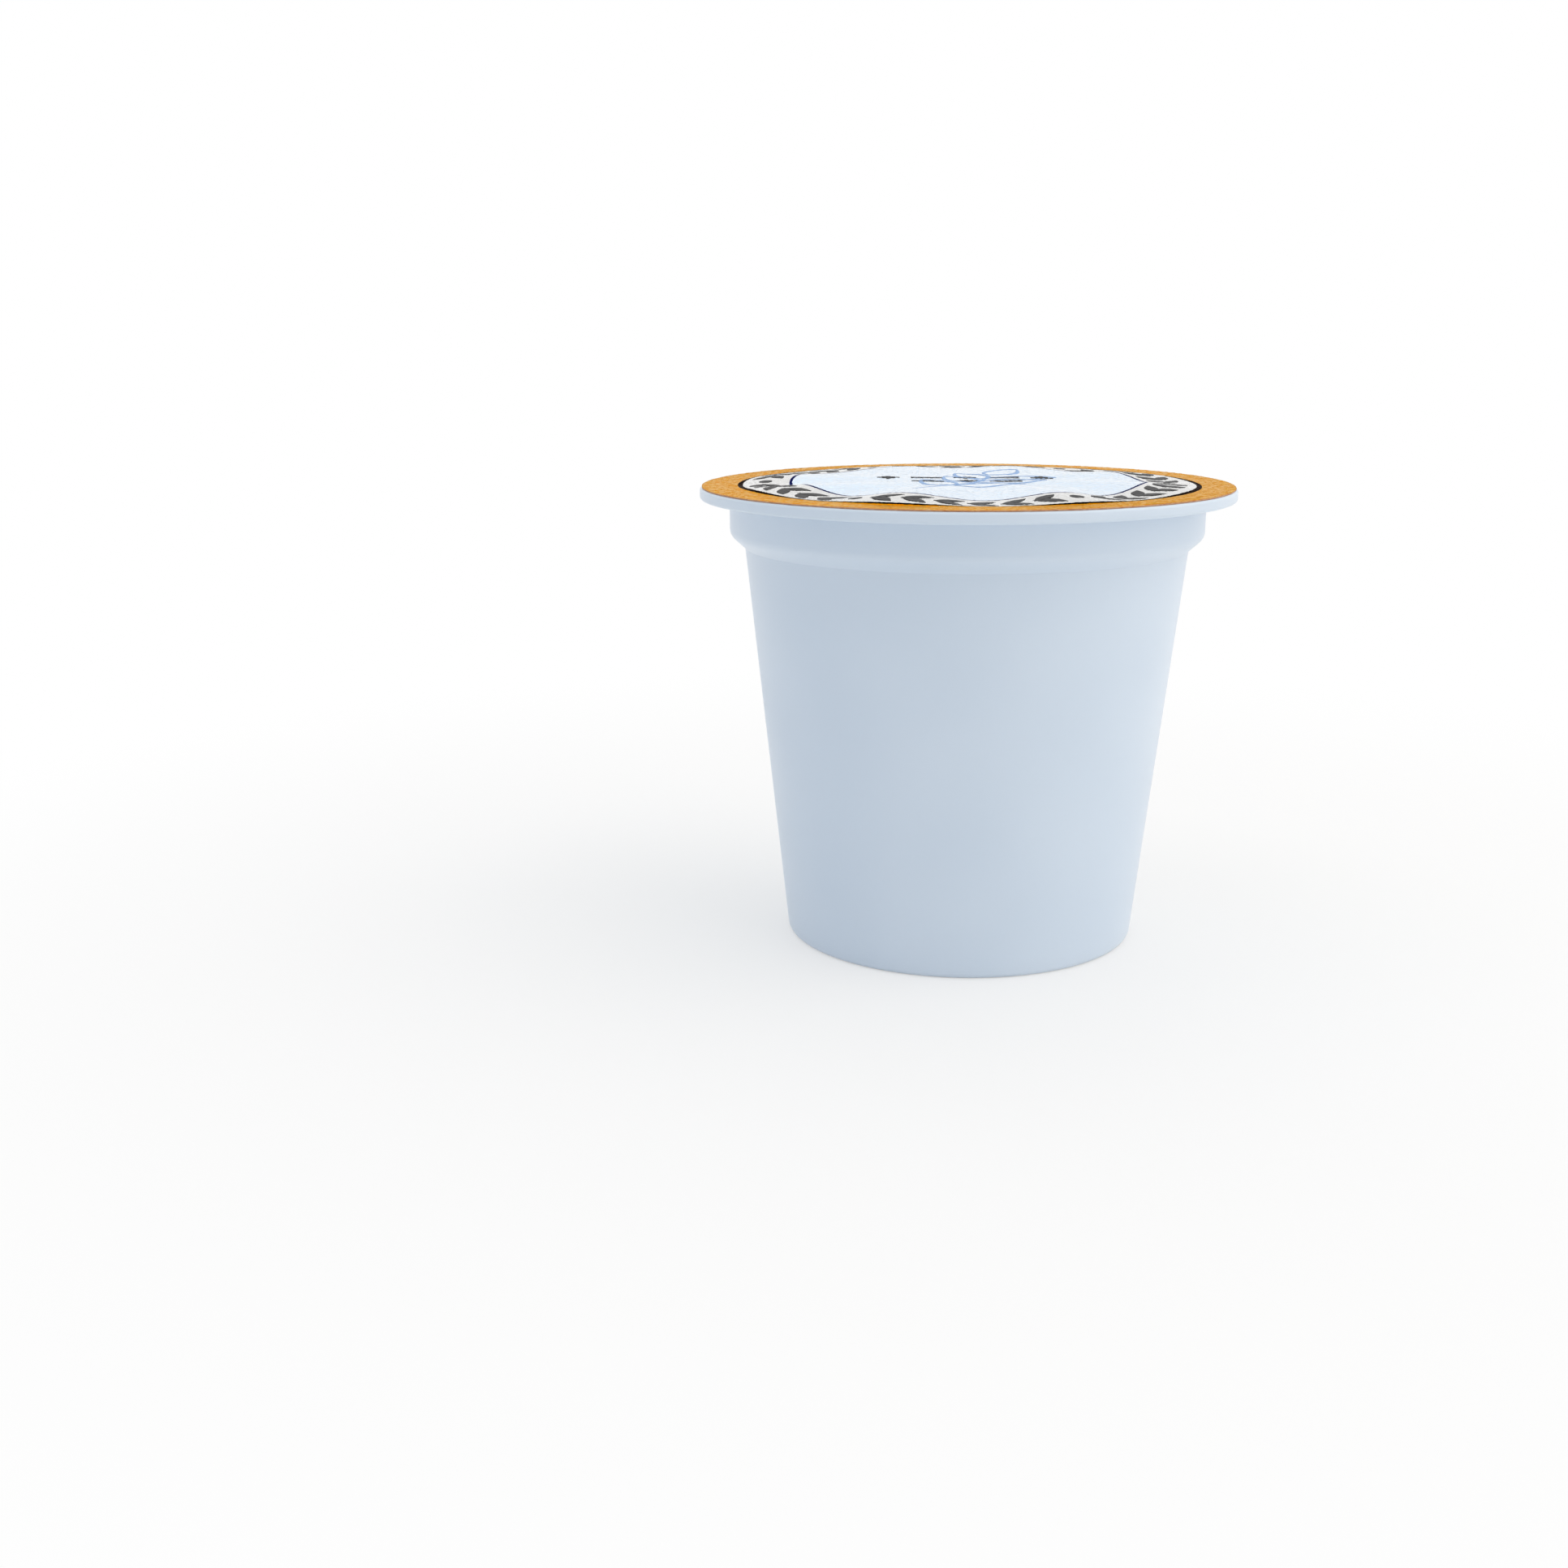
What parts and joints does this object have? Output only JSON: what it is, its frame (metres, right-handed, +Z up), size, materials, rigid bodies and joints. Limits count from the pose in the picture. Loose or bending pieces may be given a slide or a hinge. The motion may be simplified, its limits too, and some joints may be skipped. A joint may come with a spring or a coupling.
{
  "type": "coffee pod",
  "caption": "Single-serve drink pod: a tapered white moulded cup with a stepped collar and a flat flange, closed by a printed, embossed foil lid.",
  "frame": {"origin": "centre of the flat foot ring that the pod stands on", "axes": "+Z up along the pod's axis, from the foot to the lid; X and Y are alike, as the pod is round"},
  "size_m": [0.051, 0.051, 0.0441],
  "materials": {
    "moulded_plastic": "smooth semi-gloss white, slightly translucent",
    "printed_foil": "embossed satin foil, printed with an orange border and a silver band"
  },
  "bodies": {
    "root": {"filled_cup": "moulded_plastic", "foil_lid": "printed_foil"}
  },
  "joints": []
}
